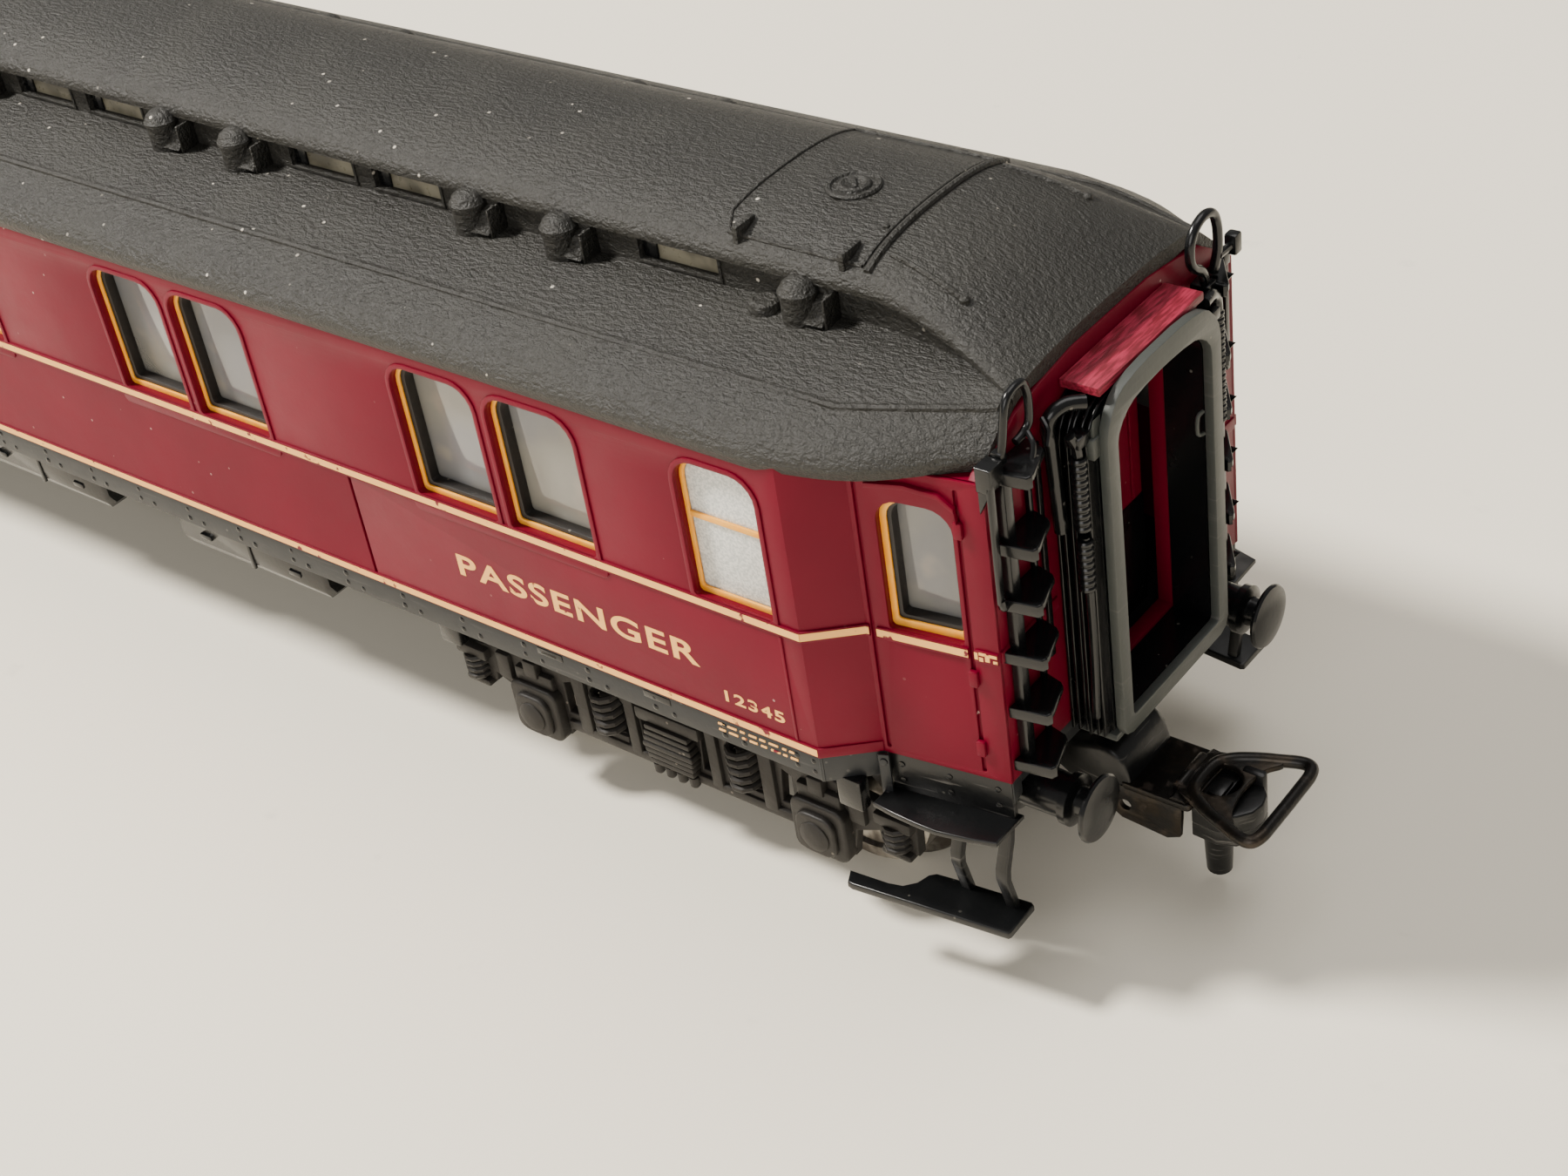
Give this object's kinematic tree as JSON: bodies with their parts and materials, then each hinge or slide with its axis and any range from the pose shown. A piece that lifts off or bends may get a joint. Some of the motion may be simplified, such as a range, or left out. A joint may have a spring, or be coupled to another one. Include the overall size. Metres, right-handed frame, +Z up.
{
  "type": "model passenger coach",
  "caption": "H0 scale model passenger coach with clerestory roof, pillared gangways, turning bogies and loop couplers.",
  "frame": {"origin": "under the middle of the coach, on the plane under the wheel flanges", "axes": "+X along the coach towards its front end, +Y to its left side, +Z up"},
  "size_m": [0.247, 0.034, 0.0444],
  "materials": {
    "body_paint": "satin wine-red paint on moulded plastic, with cream lines and yellow window frames",
    "roof_paint": "dark warm grey, fine leather-like grain, satin",
    "board_paint": "red, brushed grain",
    "chassis_plastic": "black-grey moulded plastic",
    "fitting_plastic": "glossy black moulded plastic",
    "glazing": "clear moulded plastic",
    "interior_plastic": "tan moulded plastic",
    "ballast_steel": "plain steel strip",
    "bogie_plastic": "dusty dark brown-grey moulded plastic",
    "wheel_steel": "blackened steel with bright treads",
    "coupler_metal": "blackened steel, worn brownish"
  },
  "bodies": {
    "coach_body": {"body_shell": "body_paint", "roof": "roof_paint", "underframe": "chassis_plastic", "interior_fitting": "interior_plastic", "ballast_weight": "ballast_steel", "left_glazing": "glazing", "right_glazing": "glazing", "left_equipment_boxes": "fitting_plastic", "right_equipment_boxes": "fitting_plastic", "front_gangway_bellows": "fitting_plastic", "front_gangway_frame": "fitting_plastic", "front_canopy_board": "board_paint", "front_pivot_screw": "wheel_steel", "front_left_end_ladder": "fitting_plastic", "front_left_buffer": "fitting_plastic", "front_left_grab_rail": "fitting_plastic", "front_left_conduit": "fitting_plastic", "front_left_door_steps": "fitting_plastic", "front_right_end_ladder": "fitting_plastic", "front_right_buffer": "fitting_plastic", "front_right_grab_rail": "fitting_plastic", "front_right_conduit": "fitting_plastic", "front_right_door_steps": "fitting_plastic", "rear_gangway_bellows": "fitting_plastic", "rear_gangway_frame": "fitting_plastic", "rear_canopy_board": "board_paint", "rear_pivot_screw": "wheel_steel", "rear_left_end_ladder": "fitting_plastic", "rear_left_buffer": "fitting_plastic", "rear_left_grab_rail": "fitting_plastic", "rear_left_conduit": "fitting_plastic", "rear_left_door_steps": "fitting_plastic", "rear_right_end_ladder": "fitting_plastic", "rear_right_buffer": "fitting_plastic", "rear_right_grab_rail": "fitting_plastic", "rear_right_conduit": "fitting_plastic", "rear_right_door_steps": "fitting_plastic"},
    "front_bogie": {"front_bogie_frame": "bogie_plastic"},
    "front_outer_wheelset": {"front_outer_axle": "wheel_steel", "front_outer_left_wheel": "wheel_steel", "front_outer_right_wheel": "wheel_steel"},
    "front_inner_wheelset": {"front_inner_axle": "wheel_steel", "front_inner_left_wheel": "wheel_steel", "front_inner_right_wheel": "wheel_steel"},
    "front_coupler": {"front_coupler_shaft": "fitting_plastic", "front_coupler_head": "coupler_metal"},
    "front_coupler_loop": {"front_coupler_loop": "coupler_metal"},
    "rear_bogie": {"rear_bogie_frame": "bogie_plastic"},
    "rear_outer_wheelset": {"rear_outer_axle": "wheel_steel", "rear_outer_left_wheel": "wheel_steel", "rear_outer_right_wheel": "wheel_steel"},
    "rear_inner_wheelset": {"rear_inner_axle": "wheel_steel", "rear_inner_left_wheel": "wheel_steel", "rear_inner_right_wheel": "wheel_steel"},
    "rear_coupler": {"rear_coupler_shaft": "fitting_plastic", "rear_coupler_head": "coupler_metal"},
    "rear_coupler_loop": {"rear_coupler_loop": "coupler_metal"}
  },
  "joints": [
    {"name": "front_bogie_swivel", "type": "hinge", "parent": "coach_body", "child": "front_bogie", "pos_m": [0.0866, 0, 0.0109], "axis": [0, 0, 1], "range_deg": [-8, 8]},
    {"name": "front_outer_wheelset_spin", "type": "hinge", "parent": "front_bogie", "child": "front_outer_wheelset", "pos_m": [0.0986, 0, 0.00665], "axis": [0, 1, 0], "continuous": true},
    {"name": "front_inner_wheelset_spin", "type": "hinge", "parent": "front_bogie", "child": "front_inner_wheelset", "pos_m": [0.0746, 0, 0.00665], "axis": [0, 1, 0], "continuous": true},
    {"name": "front_coupler_swing", "type": "hinge", "parent": "front_bogie", "child": "front_coupler", "pos_m": [0.1022, 0, 0.008], "axis": [0, 0, 1], "range_deg": [-6, 6]},
    {"name": "front_coupler_loop_lift", "type": "hinge", "parent": "front_coupler", "child": "front_coupler_loop", "pos_m": [0.1166, 0, 0.00835], "axis": [0, -1, 0], "range_deg": [0, 30]},
    {"name": "rear_bogie_swivel", "type": "hinge", "parent": "coach_body", "child": "rear_bogie", "pos_m": [-0.0866, 0, 0.0109], "axis": [0, 0, 1], "range_deg": [-8, 8]},
    {"name": "rear_outer_wheelset_spin", "type": "hinge", "parent": "rear_bogie", "child": "rear_outer_wheelset", "pos_m": [-0.0986, 0, 0.00665], "axis": [0, 1, 0], "continuous": true},
    {"name": "rear_inner_wheelset_spin", "type": "hinge", "parent": "rear_bogie", "child": "rear_inner_wheelset", "pos_m": [-0.0746, 0, 0.00665], "axis": [0, 1, 0], "continuous": true},
    {"name": "rear_coupler_swing", "type": "hinge", "parent": "rear_bogie", "child": "rear_coupler", "pos_m": [-0.1022, 0, 0.008], "axis": [0, 0, 1], "range_deg": [-6, 6]},
    {"name": "rear_coupler_loop_lift", "type": "hinge", "parent": "rear_coupler", "child": "rear_coupler_loop", "pos_m": [-0.1166, 0, 0.00835], "axis": [0, 1, 0], "range_deg": [0, 30]}
  ]
}
